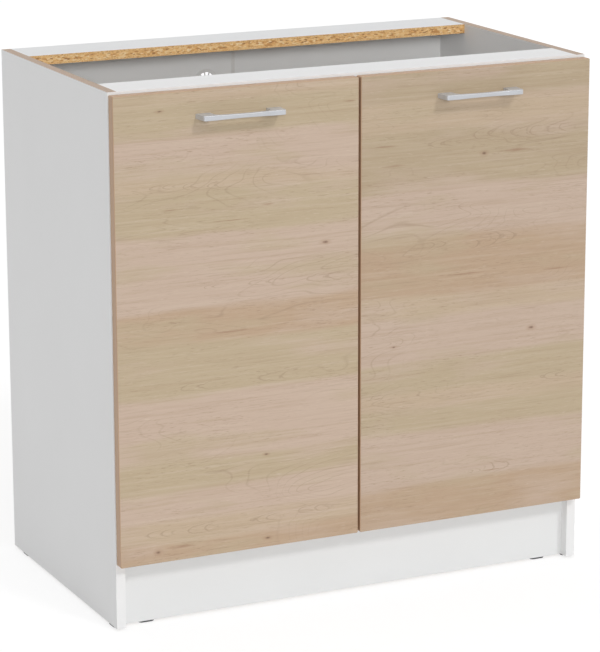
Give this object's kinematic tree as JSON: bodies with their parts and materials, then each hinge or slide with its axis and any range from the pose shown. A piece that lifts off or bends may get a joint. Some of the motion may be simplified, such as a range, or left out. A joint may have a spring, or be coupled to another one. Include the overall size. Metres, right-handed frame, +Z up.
{
  "type": "sink base cabinet",
  "caption": "Open-topped sink base cabinet with a recessed plinth, oak-decor overlay doors on concealed link hinges, and bow handles.",
  "frame": {"origin": "on the floor, under the middle of the overall box, handles included", "axes": "+X to the right as seen from the front, +Y to the back, +Z up"},
  "size_m": [0.8, 0.4968, 0.825],
  "materials": {
    "white_melamine": "matt white melamine on chipboard, banded front edges",
    "oak_decor": "satin light oak decor with the grain across the door",
    "white_hardboard": "painted white inside, raw brown outside",
    "white_plastic": "satin",
    "dark_plastic": "matt",
    "clear_rubber": "soft translucent",
    "satin_aluminium": "satin",
    "zinc_plated_screw": "bright zinc",
    "zinc_casting": "cast",
    "beech": "raw",
    "steel_pin": "bright",
    "nickel_plated_steel": "nickel plated"
  },
  "bodies": {
    "carcass": {"left_side_panel": "white_melamine", "right_side_panel": "white_melamine", "bottom_panel": "white_melamine", "front_top_rail": "white_melamine", "rear_top_rail": "white_melamine", "plinth_board": "white_melamine", "back_panel_left": "white_hardboard", "back_panel_right": "white_hardboard", "back_joining_strip": "white_plastic", "vent_grille": "white_plastic", "side_panel_glides": "dark_plastic", "plinth_glides": "dark_plastic", "cam_housings": "zinc_casting", "cam_bolts": "zinc_plated_screw", "wooden_dowels": "beech", "left_lower_mounting_plate": "nickel_plated_steel", "left_upper_mounting_plate": "nickel_plated_steel", "left_lower_hinge_arm": "nickel_plated_steel", "left_upper_hinge_arm": "nickel_plated_steel", "left_arm_pins": "steel_pin", "left_arm_screws": "zinc_plated_screw", "left_plate_screws": "zinc_plated_screw", "right_lower_mounting_plate": "nickel_plated_steel", "right_upper_mounting_plate": "nickel_plated_steel", "right_lower_hinge_arm": "nickel_plated_steel", "right_upper_hinge_arm": "nickel_plated_steel", "right_arm_pins": "steel_pin", "right_arm_screws": "zinc_plated_screw", "right_plate_screws": "zinc_plated_screw"},
    "left_inner_links": {"left_lower_inner_link": "nickel_plated_steel", "left_upper_inner_link": "nickel_plated_steel"},
    "left_outer_links": {"left_lower_outer_link": "nickel_plated_steel", "left_upper_outer_link": "nickel_plated_steel"},
    "left_door": {"left_door_panel": "oak_decor", "left_handle": "satin_aluminium", "left_handle_screws": "zinc_plated_screw", "left_door_bumpers": "clear_rubber", "left_lower_hinge_cup": "nickel_plated_steel", "left_upper_hinge_cup": "nickel_plated_steel", "left_cup_pins": "steel_pin", "left_cup_screws": "zinc_plated_screw"},
    "right_inner_links": {"right_lower_inner_link": "nickel_plated_steel", "right_upper_inner_link": "nickel_plated_steel"},
    "right_outer_links": {"right_lower_outer_link": "nickel_plated_steel", "right_upper_outer_link": "nickel_plated_steel"},
    "right_door": {"right_door_panel": "oak_decor", "right_handle": "satin_aluminium", "right_handle_screws": "zinc_plated_screw", "right_door_bumpers": "clear_rubber", "right_lower_hinge_cup": "nickel_plated_steel", "right_upper_hinge_cup": "nickel_plated_steel", "right_cup_pins": "steel_pin", "right_cup_screws": "zinc_plated_screw"}
  },
  "joints": [
    {"name": "left_inner_link_swing", "type": "hinge", "parent": "carcass", "child": "left_inner_links", "pos_m": [-0.36694, -0.18233, 0.463], "axis": [0, 0, -1], "range_deg": [-23.3, 0]},
    {"name": "left_door_swing", "type": "hinge", "parent": "left_inner_links", "child": "left_door", "pos_m": [-0.39054, -0.20915, 0.463], "axis": [0, 0, -1], "range_deg": [0, 123.2]},
    {"name": "left_outer_link_swing", "type": "hinge", "parent": "carcass", "child": "left_outer_links", "pos_m": [-0.36565, -0.1999, 0.463], "axis": [0, 0, -1], "range_deg": [-19.5, 0]},
    {"name": "right_inner_link_swing", "type": "hinge", "parent": "carcass", "child": "right_inner_links", "pos_m": [0.36694, -0.18233, 0.463], "axis": [0, 0, 1], "range_deg": [-23.3, 0]},
    {"name": "right_door_swing", "type": "hinge", "parent": "right_inner_links", "child": "right_door", "pos_m": [0.39054, -0.20915, 0.463], "axis": [0, 0, 1], "range_deg": [0, 123.2]},
    {"name": "right_outer_link_swing", "type": "hinge", "parent": "carcass", "child": "right_outer_links", "pos_m": [0.36565, -0.1999, 0.463], "axis": [0, 0, 1], "range_deg": [-19.5, 0]}
  ],
  "couplings": [
    {"joint": "left_inner_link_swing", "follows": "left_door_swing", "ratio": -0.18831},
    {"joint": "left_outer_link_swing", "follows": "left_door_swing", "ratio": -0.15747},
    {"joint": "right_inner_link_swing", "follows": "right_door_swing", "ratio": -0.18831},
    {"joint": "right_outer_link_swing", "follows": "right_door_swing", "ratio": -0.15747}
  ]
}
